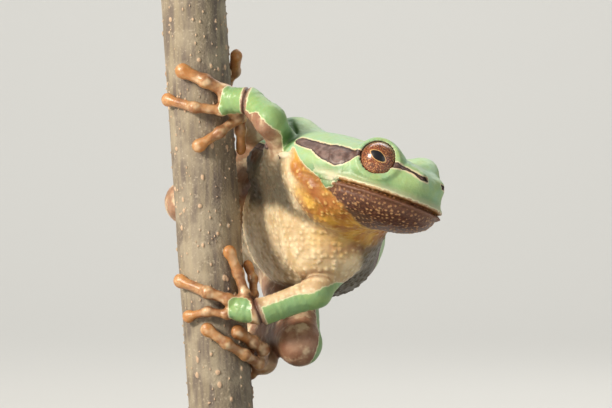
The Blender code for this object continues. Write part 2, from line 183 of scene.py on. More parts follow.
# Hands and feet round the stem: the palm, the digits' stops and their radii. Each place is an
# angle in degrees (0 right, -90 to the viewer), a height and a distance out from the bark.
R_HAND = (
    (-48.0, 11.4, 1.6),
    (
        ((-27.0, 9.6, 1.5), (-16.0, 8.2, 0.85), (-6.0, 6.2, 0.55)),
        ((-36.0, 9.4, 1.35), (-62.0, 7.9, 0.75), (-94.0, 6.4, 0.55)),
        ((-60.0, 10.3, 1.2), (-97.0, 10.6, 0.7), (-146.0, 11.5, 0.5)),
        ((-54.0, 12.4, 1.25), (-79.0, 13.5, 0.85), (-111.0, 14.6, 0.6)),
    ),
    (0.52, 0.54, 0.54, 0.68),
)
L_HAND = (
    (-52.0, -11.6, 1.6),
    (
        ((-27.0, -10.0, 1.4), (-12.0, -8.3, 1.0), (-12.0, -6.9, 0.55)),
        ((-44.0, -9.9, 1.3), (-47.0, -7.6, 0.75), (-58.0, -5.3, 0.55)),
        ((-68.0, -10.5, 1.2), (-96.0, -9.7, 0.8), (-145.0, -8.5, 0.55)),
        ((-72.0, -12.1, 1.1), (-98.0, -11.8, 0.7), (-132.0, -12.4, 0.5)),
    ),
    (0.46, 0.55, 0.6, 0.46),
)
TOE_RADII = (0.64, 0.56, 0.56, 0.58, 0.55)
L_FOOT = (
    (30.0, -17.6, 1.6),
    (
        ((-12.0, -16.1, 1.6), (-30.0, -15.2, 1.1), (-55.0, -14.1, 0.8)),
        ((-10.0, -17.7, 1.0), (-45.0, -16.6, 0.75), (-74.0, -15.3, 0.75), (-100.0, -13.8, 0.7)),
        ((45.0, -15.6, 0.9), (85.0, -14.4, 0.75), (118.0, -13.8, 0.7)),
        ((52.0, -17.9, 0.9), (90.0, -17.6, 0.75), (132.0, -17.2, 0.7)),
        ((40.0, -19.0, 0.9), (72.0, -19.8, 0.75), (106.0, -20.2, 0.7)),
    ),
    TOE_RADII,
)
R_FOOT = (
    (76.0, 12.8, 1.6),
    (
        ((50.0, 13.6, 0.9), (26.0, 14.8, 0.75), (5.0, 16.4, 0.7)),
        ((70.0, 15.0, 0.9), (58.0, 17.2, 0.75), (48.0, 19.4, 0.7)),
        ((86.0, 15.0, 0.9), (96.0, 18.0, 0.75), (104.0, 20.6, 0.7)),
        ((98.0, 12.8, 0.9), (116.0, 13.6, 0.75), (134.0, 14.6, 0.7)),
        ((82.0, 10.6, 0.9), (100.0, 9.2, 0.75), (118.0, 7.8, 0.7)),
    ),
    TOE_RADII,
)

# Stand, as in the solids
BASE_RADIUS = 28.0
BASE_THICKNESS = 4.0
BASE_EDGE = 0.8
ROD_RADIUS = 1.6
ROD_EDGE = 0.15

# Markings of the head: places forward of the eyes, and heights
BAND_UPPER = ((-11.3, 0.5), (-8.2, 0.4), (-5.6, 0.3), (-4.9, 0.45), (-3.3, 0.45), (-1.9, 0.35), (-1.2, 0.5))
BAND_LOWER = ((-10.8, -0.35), (-9.2, -0.7), (-7.5, -0.75), (-6.1, -1.35), (-4.5, -1.7), (-3.5, -1.85),
              (-2.5, -1.4), (-1.7, -0.65), (-1.1, -0.15))
BAND_FRONT = -1.0
STRIPE_UPPER = ((2.2, 0.35), (2.5, 0.45), (3.0, 0.25), (3.5, 0.15), (4.4, -0.05), (4.95, -0.2))
STRIPE_LOWER = ((2.2, -0.35), (2.75, -0.25), (3.2, -0.15), (3.9, -0.25), (4.8, -0.65))
STRIPE_BACK = 1.6
STRIPE_INNER = 1.35
CHEEK_EDGE = ((-10.1, -0.95), (-8.6, -2.0), (-7.3, -2.7), (-6.4, -3.05), (-5.2, -3.5), (-4.1, -4.4),
              (-3.3, -4.1), (-2.6, -3.75))
FLAP_FRONT = -2.6
LIP_BAND = 0.32
LIP_REACH = 1.6
CHIN_BACK = ((-8.0, -1.9), (-6.3, -1.8), (-5.4, -1.75), (-4.9, -3.1), (-4.5, -3.9), (-3.0, -3.9))
GOLD_CENTRE = (-4.6, 2.8, -5.4)
GOLD_RADII = (4.7, 5.8, 3.3)
GLOW_CENTRE = (3.6, -3.8)
GLOW_RADII = (4.6, 2.9)
GLOW = 0.55
DRUM = (-3.65, -0.75, 0.85)

# The trunk's middle line, each stop with the direction of the back there
SPINE = (
    (at(-5.9, 20.4, -5.7), at(0.84, 0.49, 0.15)),
    (PELVIS[0], at(0.84, 0.49, 0.15)),
    (BELLY[0], TRUNK_UP),
    (CHEST[0], at(0.55, 0.35, 0.72)),
    (at(5.0, -8.2, 1.2), at(0.36, 0.1, 0.93)),
)
FLANK_EDGE = 1.0
FLANK_BAND = 0.9
SEAM = 0.3
GRAIN = 0.68
HOLLOW_REACH = 1.1

# Each stretch of a limb: the side that is green, where that begins, and how brown the rest is
LIMB_MARKS = {
    "arm_right": ((at(0.95, -0.2, 0.3), 0.5, 0.8), (at(0.05, 0.1, 1.0), -0.4, 0.9)),
    "arm_left": ((at(0.7, 0.2, -0.6), 0.3, 0.1), (at(-0.1, -0.3, -0.95), -0.15, 0.15)),
    "leg_right": ((at(0.0, 0.9, 0.5), 0.8, 0.8), (at(-0.1, 0.8, 0.5), 0.6, 0.8),
                  (at(0.5, 0.3, 0.8), 0.3, 0.7)),
    "leg_left": ((at(0.9, 0.2, -0.2), 1.6, 0.9), (at(0.9, 0.1, -0.35), 1.2, 0.9),
                 (at(0.3, 0.2, -0.9), 0.3, 0.7)),
}

# Green patches on the hands: from, to and radius
HAND_PATCHES = {
    "arm_right": (at(-7.9, -5.4, 12.1), at(-8.3, -5.4, 10.6), 1.45),
    "arm_left": (at(-7.3, -5.5, -11.3), at(-7.2, -5.5, -12.4), 1.4),
}
WRIST_GAP = 0.42
BARE_KNEE = 3.1
NEAR_SIDE = -5.0

# Eyes, in the head's directions
GAZE = (0.515, 0.838, 0.179)
PUPIL_SLANT = (0.97, -0.22)
PUPIL_WIDE = 0.92
PUPIL_TALL = 0.47
PUPIL_CURVE = 1.7

# Pores of the bark, and the cut ends
PORES = 110
PORE_SIZES = (0.18, 0.36)
SMALL_PORES = 420
SMALL_PORE_SIZES = (0.08, 0.16)
PORE_HEIGHT = 0.16
CUT_BEVEL = 0.25
CUT_RINGS = (0.97, 0.8, 0.6, 0.4, 0.2, 0.06)
CUT_CROWN = 0.05

# Camera, and lights: name, place, size in metres, power, colour and where they aim
CAMERA_AWAY = 350.0
VIEW_WIDTH = 68.0
WHITE = (1.0, 1.0, 1.0)
LIGHTS = (
    ("key_light", (-300.0, -225.0, 200.0), 0.09, 2.3, (1.0, 0.92, 0.8), (0.0, 0.0, 0.0)),
    ("fill_light", (300.0, -300.0, 60.0), 0.3, 0.18, (0.9, 0.95, 1.0), (0.0, 0.0, 0.0)),
    ("back_light", (140.0, 260.0, 260.0), 0.25, 0.4, WHITE, (0.0, 0.0, 0.0)),
    ("backdrop_light", (0.0, 500.0, 900.0), 0.8, 8.0, WHITE, (0.0, 1200.0, 200.0)),
)
SKY_COLOUR = (0.82, 0.83, 0.8, 1.0)
SKY_STRENGTH = 0.33
FLOOR_COLOUR = (0.62, 0.61, 0.58, 1.0)

# Colours
CREAM = (0.86, 0.7, 0.46)
CREAM_SHADE = (0.58, 0.42, 0.23)
CREAM_GRAIN = (0.9, 0.78, 0.54)
YELLOW = (0.82, 0.54, 0.1)
GOLD = (0.74, 0.43, 0.07)
GOLD_DEEP = (0.38, 0.12, 0.018)
GOLD_GRAIN = (0.86, 0.6, 0.2)
# The flanks' grey, made nearly black by painted shade
FLANK_SHADE = (0.055, 0.048, 0.032)
FLAP = (0.74, 0.66, 0.48)
PINK = (0.4, 0.21, 0.135)
PINK_DEEP = (0.24, 0.095, 0.055)
PINK_PALE = (0.72, 0.55, 0.36)
TAN = (0.5, 0.26, 0.11)
TAN_DEEP = (0.3, 0.13, 0.055)
TAN_TIP = (0.54, 0.22, 0.05)
# Painted highlight on the side of the digits that stands clear of the bark
TAN_HIGHLIGHT = (0.78, 0.56, 0.34)
# Dark brown painted into the wrist creases as shade
WRIST_CREASE_SHADE = (0.1, 0.04, 0.035)
BROWN = (0.16, 0.06, 0.028)
BROWN_DEEP = (0.065, 0.02, 0.01)
BEIGE = (0.46, 0.25, 0.11)
LIP_BROWN = (0.22, 0.115, 0.075)
# Painted shade in the hollows and folds of the skin
CAVITY_SHADE = (0.16, 0.055, 0.02)
GREEN_COOL = (0.33, 0.53, 0.31)
GREEN_WARM = (0.38, 0.53, 0.22)
GREEN_SHADE = (0.2, 0.4, 0.14)
GREEN_PALE = (0.42, 0.6, 0.34)
# Green darkened as painted shade in hollows and along creases
GREEN_CREASE_SHADE = (0.06, 0.15, 0.035)
# Deeper, more saturated green of the limbs, partly painted shade
GREEN_LIMB_TONE_AND_SHADE = (0.17, 0.32, 0.07)
BORDER = (0.68, 0.66, 0.42)
STRIPE_BROWN = (0.105, 0.055, 0.045)
STRIPE_PALE = (0.22, 0.14, 0.12)
STRIPE_EDGE = (0.035, 0.014, 0.012)
IRIS_COPPER = (0.3, 0.072, 0.018)
IRIS_DEEP = (0.075, 0.017, 0.007)
IRIS_GOLD = (0.85, 0.42, 0.16)
IRIS_RING = (0.95, 0.6, 0.22)
IRIS_RIM = (0.06, 0.02, 0.01)
PUPIL_BLACK = (0.002, 0.002, 0.003)
BARK = (0.31, 0.255, 0.175)
BARK_DEEP = (0.17, 0.135, 0.11)
BARK_PALE = (0.43, 0.365, 0.265)
BARK_SPECK = (0.54, 0.46, 0.35)
PORE = (0.6, 0.42, 0.28)
WOOD = (0.72, 0.58, 0.36)
WOOD_DEEP = (0.52, 0.38, 0.2)
PAINT = (0.012, 0.012, 0.013)
PAINT_PALE = (0.022, 0.022, 0.024)

# Relief of the skin: sizes, heights and depths in millimetres
FINE_GRAIN = 0.42
GRAIN_HEIGHT = 0.14
CHIN_HEIGHT = 0.07
FLAP_HEIGHT = 0.28
FOLD_HEIGHT = 0.12
LIP_HEIGHT = 0.1
LIP_FOLD_DEPTH = 0.07
RIDGE_HEIGHT = 0.09
BAND_DEPTH = 0.05
DRUM_HEIGHT = 0.06
CHEEK_STEP = 0.17
LID_CREASE = 0.05
WRINKLE_HEIGHT = 0.035

FLESH_NODES = ["head", "torso"] + [
    f"{part}_{side}"
    for side in ("right", "left")
    for part in ("upper_arm", "forearm", "hand", "thigh", "shank", "tarsus", "foot")
]


def axes(forward, up):
    """Right-handed rows forward, left, up, square to each other."""
    x = unit(forward)
    y = unit(np.cross(up, x))
    return np.array([x, y, np.cross(x, y)])


HEAD_AXES = axes(HEAD_FORWARD, HEAD_UP)
TRUNK_AXES = axes(TRUNK_FORWARD, TRUNK_UP)
IDENTITY = np.eye(3)


def on_head(x, y, z):
    """A point given forward, left and up from midway between the eyes."""
    return HEAD_CENTRE + at(x, y, z) @ HEAD_AXES


def mirrored(place, side):
    """A place on the head's left for side 1, or its mirror image for side -1."""
    return on_head(place[0], side * place[1], place[2])


def in_head(p):
    """Points in the head's own forward, left and up."""
    return (p - HEAD_CENTRE) @ HEAD_AXES.T


def stem_axis(z):
    """The middle of the stem at a height."""
    return at(STEM_X + STEM_LEAN * z, 0.0, z)


def round_stem(angle, z, out):
    """A point beside the stem: angle round it, height, and distance from its bark."""
    a = math.radians(angle)
    r = STEM_RADIUS + out
    return stem_axis(z) + r * at(math.cos(a), math.sin(a), 0.0)


def to_world(points):
    """Drawing millimetres to the frame's metres."""
    return (np.asarray(points, float) - at(*BASE_CENTRE, FLOOR_Z)) * MM


def far_from(place, p):
    """How far points are from a place."""
    return np.linalg.norm(p - place, axis=1)


def smooth(low, high, x):
    """An even ramp from 0 at low to 1 at high."""
    t = np.clip((x - low) / (high - low), 0.0, 1.0)
    return t * t * (3.0 - 2.0 * t)


def bump(x, middle, width):
    """A smooth swell that is 1 in the middle and fades over the width."""
    return np.exp(-((x - middle) / width) ** 2)


class Form:
    """A solid as a distance function, with the box that it fills."""

    def __init__(self, measure, low, high):
        self.measure = measure
        self.low = np.array(low)
        self.high = np.array(high)

    def distance(self, p):
        """Distances, worked out only where the form is near."""
        near = np.all((p > self.low - REACH) & (p < self.high + REACH), axis=1)
        found = np.full(len(p), REACH)
        if near.any():
            found[near] = self.measure(p[near])
        return found


def ellipsoid(centre, radii, rows=IDENTITY):
    """An ellipsoid whose radii run along the given directions."""
    radii = np.array(radii)

    def distance(p):
        q = (p - centre) @ rows.T
        k0 = np.linalg.norm(q / radii, axis=1)
        k1 = np.linalg.norm(q / radii ** 2, axis=1)
        return k0 * (k0 - 1.0) / np.maximum(k1, 1e-6)

    reach = np.sqrt(((rows * radii[:, None]) ** 2).sum(axis=0))
    return Form(distance, centre - reach, centre + reach)


def cone(a, b, ra, rb):
    """A rod with round ends that swells or narrows from one end to the other."""
    along = b - a
    length2 = float(along @ along)

    def distance(p):
        t = np.clip((p - a) @ along / length2, 0.0, 1.0)
        nearest = a + t[:, None] * along
        return far_from(nearest, p) - (ra + (rb - ra) * t)

    r = max(ra, rb)
    return Form(distance, np.minimum(a, b) - r, np.maximum(a, b) + r)


def half_space(point, outward):
    """The solid behind a plane."""
    return Form(lambda p: (p - point) @ outward, [-1e3] * 3, [1e3] * 3)


def mix_distances(d, e, soft):
    """Two distances joined with a soft fillet."""
    h = np.clip(0.5 + 0.5 * (e - d) / soft, 0.0, 1.0)
    return e + (d - e) * h - soft * h * (1.0 - h)


def blend(forms, soft):
    """Forms joined with a soft fillet."""
    def distance(p):
        d = forms[0].distance(p)
        for form in forms[1:]:
            d = mix_distances(d, form.distance(p), soft)
        return d

    low = np.min([f.low for f in forms], axis=0) - 0.3 * soft
    high = np.max([f.high for f in forms], axis=0) + 0.3 * soft
    return Form(distance, low, high)


def inside(form, limit):
    """What of the form lies in the limit."""
    return Form(lambda p: np.maximum(form.distance(p), limit.distance(p)),
                np.maximum(form.low, limit.low), np.minimum(form.high, limit.high))


def eye_axis(side):
    """Where an eye looks: side is 1 for the left and -1 for the right."""
    turn = math.radians(EYE_TURN)
    return unit(at(math.cos(turn), side * math.sin(turn), EYE_RAISE) @ HEAD_AXES)


def eye_centre(side):
    """The middle of an eyeball."""
    return on_head(0.0, side * EYE_HALF_SPAN, 0.0)


def mouth_height(x):
    """The height of the mouth's line at a place along the head."""
    return MOUTH_Z - MOUTH_FALL * (x - MOUTH_CORNER)


def head_masses(masses):
    """Ellipsoids that lie along the head."""
    return [ellipsoid(on_head(*middle), radii, HEAD_AXES) for middle, radii in masses]


def head_form():
    """Braincase, cheeks, snout, jaws, ridges and lids."""
    parts = head_masses(HEAD_MASSES)
    holes = []
    for side in (1, -1):
        back, front, radii = SNOUT_RIDGE
        parts.append(cone(mirrored(back, side), mirrored(front, side), *radii))
        lid = ellipsoid(eye_centre(side), (LID_RADIUS,) * 3)
        rim = half_space(eye_centre(side) + LID_OPENING * eye_axis(side), eye_axis(side))
        parts.append(inside(lid, rim))
        holes.append(ellipsoid(eye_centre(side), (EYE_RADIUS + SOCKET_GAP,) * 3))
        holes.append(ellipsoid(mirrored(NOSTRIL[0], side), NOSTRIL[1]))
    mass = blend(parts, HEAD_FILLET)

    def distance(p):
        d = mass.distance(p)
        q = in_head(p)
        open_part = smooth(MOUTH_CORNER - 0.3, MOUTH_CORNER + 0.5, q[:, 0])
        d += MOUTH_DEPTH * open_part * bump(q[:, 2] - mouth_height(q[:, 0]), 0.0, MOUTH_WIDTH)
        for hole in holes:
            d = np.maximum(d, -hole.distance(p))
        return d

    return Form(distance, mass.low, mass.high)


def trunk_form():
    """Chest, shoulder blade, breast, armpit, belly, pelvis and the nape behind the head."""
    masses = [ellipsoid(*CHEST, TRUNK_AXES)] + [ellipsoid(*mass) for mass in (SCAPULA, BREAST, ARMPIT)]
    masses += [ellipsoid(*mass, TRUNK_AXES) for mass in (BELLY, PELVIS)]
    return blend(masses + head_masses(NAPE_MASSES), TRUNK_FILLET)


def web(a, b, c, r):
    """A thin rounded sheet between three points."""
    corners = np.array([a, b, c])
    edges = np.roll(corners, -1, axis=0) - corners
    flat = np.cross(edges[0], edges[1])

    def distance(p):
        within = np.zeros(len(p))
        near = np.full(len(p), 1e9)
        for corner, edge in zip(corners, edges):
            off = p - corner
            within += np.sign(off @ np.cross(flat, edge))
            t = np.clip(off @ edge / (edge @ edge), 0.0, 1.0)
            near = np.minimum(near, np.linalg.norm(off - t[:, None] * edge, axis=1))
        level = np.abs((p - corners[0]) @ flat) / np.linalg.norm(flat)
        return np.where(within > 2.0, level, near) - r

    return Form(distance, corners.min(axis=0) - r, corners.max(axis=0) + r)


def digit_forms(palm, digit, radius):
    """One digit: a slim rod with faint knuckles and a flat round disc pressed to the stem."""
    points = [palm] + [round_stem(*stop) for stop in digit]
    starts = [DIGIT_ROOT] + [radius] * len(digit)
    forms = [cone(a, b, start, radius) for a, b, start in zip(points, points[1:], starts)]
    forms += [ellipsoid(knuckle, (radius + KNUCKLE,) * 3) for knuckle in points[1:-1]]
    tip = points[-1]
    outward = unit(tip - stem_axis(tip[2]))
    size = np.array(DISC) * (0.55 + 0.8 * radius)
    forms.append(ellipsoid(tip, size, axes(tip - points[-2], outward)))
    return forms


def grip(root, palm, digits, radii, webs):
    """A hand or foot that wraps the stem, with skin between neighbouring digits."""
    forms = [cone(root, palm, PALM * 0.92, PALM)]
    for digit, radius in zip(digits, radii):
        forms += digit_forms(palm, digit, radius)
    for i, j, reach in webs:
        a = palm + reach * (round_stem(*digits[i][0]) - palm)
        b = palm + reach * (round_stem(*digits[j][0]) - palm)
        forms.append(web(palm, a, b, WEB))
    return blend(forms, GRIP_FILLET)


# Digits with skin between them, and how far out along the first bones it reaches
HAND_WEBS = ((0, 1, 0.8), (1, 2, 0.9), (2, 3, 0.9))
TOE_WEBS = ((0, 1, 0.9), (2, 3, 1.0), (3, 4, 1.0))

LIMBS = {
    "arm_right": ((R_SHOULDER, R_ELBOW, R_WRIST), (UPPER_ARM, FOREARM), (*R_HAND, HAND_WEBS)),
    "arm_left": ((L_SHOULDER, L_ELBOW, L_WRIST), (UPPER_ARM, FOREARM), (*L_HAND, HAND_WEBS)),
    "leg_right": ((R_HIP, R_KNEE, R_HEEL, R_SOLE), (THIGH, SHANK, TARSUS), (*R_FOOT, TOE_WEBS)),
    "leg_left": ((L_HIP, L_KNEE, L_HEEL, L_SOLE), (THIGH, SHANK, TARSUS), (*L_FOOT, TOE_WEBS)),
}


def skin_form():
    """The whole animal as one distance function, and its parts for the markings."""
    head = head_form()
    trunk = trunk_form()
    stem = cone(stem_axis(STEM_FOOT - 9.0), stem_axis(STEM_TOP + 9.0), STEM_RADIUS, STEM_RADIUS)
    parts = {"head": head, "trunk": trunk}
    limbs = []
    for name, (joints, radii, (palm, *fan)) in LIMBS.items():
        stretches = [cone(a, b, *ends) for a, b, ends in zip(joints, joints[1:], radii)]
        tip = grip(joints[-1], round_stem(*palm), *fan)
        for i, stretch in enumerate(stretches):
            parts[f"{name}_{i}"] = stretch
        parts[f"{name}_tip"] = tip
        limbs.append((blend([blend(stretches, LIMB_FILLET), tip], WRIST_FILLET), joints[0]))

    def distance(p):
        d = mix_distances(head.distance(p), trunk.distance(p), NECK_FILLET)
        for limb, root in limbs:
            near = bump(far_from(root, p), 0.0, ROOT_REACH)
            d = mix_distances(d, limb.distance(p), ROOT_FILLET + ROOT_SWELL * near)
        for wrist, onward in WRISTS.values():
            near = np.exp(-(far_from(wrist, p) / WRIST_REACH) ** 4)
            d = d + WRIST_CREASE * near * bump((p - wrist) @ onward, 0.0, CREASE_WIDTH)
        for a, b, depth, width in CREASES:
            d = d + depth * bump(cone(a, b, 0.0, 0.0).distance(p), 0.0, width)
        return np.maximum(d, BARK_GAP - stem.distance(p))

    low = np.min([f.low for f in parts.values()], axis=0) - 0.5
    high = np.max([f.high for f in parts.values()], axis=0) + 0.5
    return Form(distance, low, high), parts


def sample(form, low, counts, step):
    """The form's distance at every grid point: full only in the blocks near its surface."""
    blocks = (counts + BLOCK - 1) // BLOCK
    middles = np.array(list(itertools.product(*map(range, blocks))))
    rough = form.distance((middles + 0.5) * (BLOCK * step) + low).astype(np.float32)
    values = rough.reshape(blocks)
    for axis in range(3):
        values = np.repeat(values, BLOCK, axis)
    near = middles[np.abs(rough) < BLOCK * step * HALF_DIAGONAL + BLOCK_MARGIN]
    local = np.array(list(itertools.product(range(BLOCK), repeat=3)))
    for batch in np.array_split(near, max(1, len(near) // BLOCKS_AT_ONCE)):
        cells = (batch[:, None, :] * BLOCK + local[None, :, :]).reshape(-1, 3)
        values[tuple(cells.T)] = form.distance(cells * step + low)
    return values[:counts[0], :counts[1], :counts[2]]


CORNERS = np.array(list(itertools.product((0, 1), repeat=3)))
CELL_EDGES = [(i, j) for i, j in itertools.combinations(range(8), 2)
              if np.abs(CORNERS[i] - CORNERS[j]).sum() == 1]


def surface(form, step):
    """Points and four-sided faces of a form's surface, one point in each cell it crosses."""
    low = form.low - 2 * step
    counts = np.ceil((form.high + 2 * step - low) / step).astype(int) + 1
    values = sample(form, low, counts, step)
    solid = values < 0
    found = sum(solid[x:counts[0] - 1 + x, y:counts[1] - 1 + y, z:counts[2] - 1 + z].astype(np.int8)
                for x, y, z in CORNERS)
    cells = np.argwhere((found > 0) & (found < 8))
    number = np.full(found.shape, -1, np.int32)
    number[tuple(cells.T)] = np.arange(len(cells))
    corner_values = np.stack([values[tuple((cells + c).T)] for c in CORNERS], axis=1)
    total = np.zeros((len(cells), 3))
    hits = np.zeros(len(cells))
    for i, j in CELL_EDGES:
        a, b = corner_values[:, i], corner_values[:, j]
        crossed = (a < 0) != (b < 0)
        t = (a[crossed] / (a[crossed] - b[crossed]))[:, None]
        total[crossed] += CORNERS[i] + t * (CORNERS[j] - CORNERS[i])
        hits[crossed] += 1
    points = (cells + total / hits[:, None]) * step + low
    faces = []
    for axis in range(3):
        u, v = (axis + 1) % 3, (axis + 2) % 3
        first = [slice(0, -1) if k == axis else slice(1, -1) for k in range(3)]
        last = [slice(1, None) if k == axis else slice(1, -1) for k in range(3)]
        a, b = solid[tuple(first)], solid[tuple(last)]
        where = np.argwhere(a != b)
        outward = a[tuple(where.T)]
        for k in (u, v):
            where[:, k] += 1
        du = np.eye(3, dtype=int)[u]
        dv = np.eye(3, dtype=int)[v]
        quad = np.stack([number[tuple((where - s).T)] for s in (0 * du, du, du + dv, dv)], axis=1)
        quad[~outward] = quad[~outward][:, ::-1]
        faces.append(quad)
    return points, np.concatenate(faces)


def largest_shell(points, faces):
    """The biggest connected piece of a surface."""
    labels = np.arange(len(points))
    while True:
        lowest = labels[faces].min(axis=1)
        update = labels.copy()
        for k in range(faces.shape[1]):
            np.minimum.at(update, faces[:, k], lowest)
        update = update[update]
        if np.array_equal(update, labels):
            break
        labels = update
    names, sizes = np.unique(labels[faces[:, 0]], return_counts=True)
    faces = faces[labels[faces[:, 0]] == names[sizes.argmax()]]
    used, index = np.unique(faces, return_inverse=True)
    return points[used], index.reshape(-1, faces.shape[1])


def lattice(cells, seed):
    """A repeatable number from 0 to 1 for each whole-number cell."""
    table = np.random.default_rng(seed).random((64, 64, 64))
    x, y, z = (cells.astype(int) % 64).T
    return table[x, y, z]


def clouds(p, size, seed):
    """Soft noise from -1 to 1 with features about as wide as size."""
    q = p / size
    base = np.floor(q)
    t = smooth(0.0, 1.0, q - base)
    total = np.zeros(len(p))
    for corner in CORNERS:
        weight = np.prod(np.where(corner == 1, t, 1.0 - t), axis=1)
        total += weight * lattice(base + corner, seed)
    return 2.0 * total - 1.0


def grains(p, size, seed):
    """How near each point is to the middle of a scattered grain, from 0 to 1."""
    q = p / size
    base = np.floor(q)
    nearest = np.full(len(p), 9.0)
    for step in itertools.product((-1, 0, 1), repeat=3):
        cell = base + step
        spot = np.stack([lattice(cell, seed + k) for k in range(3)], axis=1)
        nearest = np.minimum(nearest, np.linalg.norm(cell + 0.15 + 0.7 * spot - q, axis=1))
    return 1.0 - smooth(0.1, 0.6, nearest)


def table(x, stops):
    """A value read off a list of (place, value) stops."""
    places, values = zip(*stops)
    return np.interp(x, places, values)


def slope(form, p):
    """The direction in which a form's distance grows fastest."""
    grown = np.zeros_like(p)
    for corner in np.array([[1, 1, 1], [1, -1, -1], [-1, 1, -1], [-1, -1, 1]]):
        grown += corner * form.distance(p + 0.015 * corner)[:, None]
    return grown / np.maximum(np.linalg.norm(grown, axis=1), 1e-9)[:, None]


def along_trunk(p):
    """How far each point lies to the back's side of the trunk's middle line."""
    best = np.full(len(p), 1e9)
    height = np.zeros(len(p))
    for (a, up_a), (b, up_b) in zip(SPINE, SPINE[1:]):
        along = b - a
        t = np.clip((p - a) @ along / (along @ along), 0.0, 1.0)[:, None]
        off = p - (a + t * along)
        far = np.linalg.norm(off, axis=1)
        up = up_a + t * (up_b - up_a)
        up = up / np.linalg.norm(up, axis=1)[:, None]
        nearer = far < best
        best = np.where(nearer, far, best)
        height = np.where(nearer, (off * up).sum(axis=1), height)
    return height


def shares(parts, p):
    """How much each point belongs to each part of the body."""
    names = list(parts)
    far = np.stack([parts[name].distance(p) for name in names])
    weight = np.exp(-(far - far.min(axis=0)) / SEAM)
    weight /= weight.sum(axis=0)
    return dict(zip(names, weight))


def least(*fields):
    """The least of some fields at each point."""
    return np.min(fields, axis=0)


def head_marks(p):
    """Markings of the head and nape, in millimetres inside each one's edge."""
    q = in_head(p)
    x, side, z = q[:, 0], np.abs(q[:, 1]), q[:, 2]
    lip = z - mouth_height(x)
    cheek = np.where(x > FLAP_FRONT, lip - LIP_BAND, z - table(x, CHEEK_EDGE))
    band = least(table(x, BAND_UPPER) - z, z - table(x, BAND_LOWER), BAND_FRONT - x)
    stripe = least(table(x, STRIPE_UPPER) - z, z - table(x, STRIPE_LOWER),
                   x - STRIPE_BACK, side - STRIPE_INNER)
    dark = np.maximum(band, stripe)
    green = least(cheek, lip + LIP_REACH, -dark)
    chin = least(-lip, x - table(z, CHIN_BACK), -cheek)
    gold = np.linalg.norm((np.stack([x, side, z], axis=1) - GOLD_CENTRE) / GOLD_RADII, axis=1)
    for eye in (1, -1):
        far = far_from(eye_centre(eye), p)
        green = np.where(far < LID_RADIUS, np.minimum(green, 2.2 * (far - EYE_RADIUS - LID_EDGE)), green)
    return {"green": green, "dark": dark, "chin": chin, "gold": 1.0 - smooth(0.6, 1.3, gold),
            "lip": lip, "x": x, "side": side, "z": z, "cheek": cheek}


def cuffed(arm, sleeve, p):
    """An arm's green, stopped on both sides of the wrist's crease, with the patch on the hand."""
    wrist, onward = WRISTS[arm]
    past = (p - wrist) @ onward
    field = np.minimum(sleeve, -past - WRIST_GAP)
    a, b, r = HAND_PATCHES[arm]
    return np.maximum(field, np.minimum(past - WRIST_GAP, -cone(a, b, r, r).distance(p)))


def head_rule(x, side, z):
    """How far the head's markings rule over the trunk's, at places in the head's directions."""
    rule = smooth(-13.0, -10.5, x)
    rule *= 1.0 - smooth(6.3, 7.3, side) * smooth(-2.0, -3.4, z)
    neck = smooth(-7.6, -8.6, x) * smooth(-0.7, -1.3, z)
    rule *= 1.0 - smooth(6.2, 6.8, side) * neck
    return rule * smooth(-7.6, -6.2, z)


def clipped(field):
    """A marking's field, held to two millimetres on each side of its edge."""
    return np.clip(field, -2, 2)


def front_oval(centre, radii, p):
    """How far points lie from a place as the viewer sees it, in shares of an oval's radii."""
    return np.hypot((p[:, 0] - centre[0]) / radii[0], (p[:, 2] - centre[1]) / radii[1])


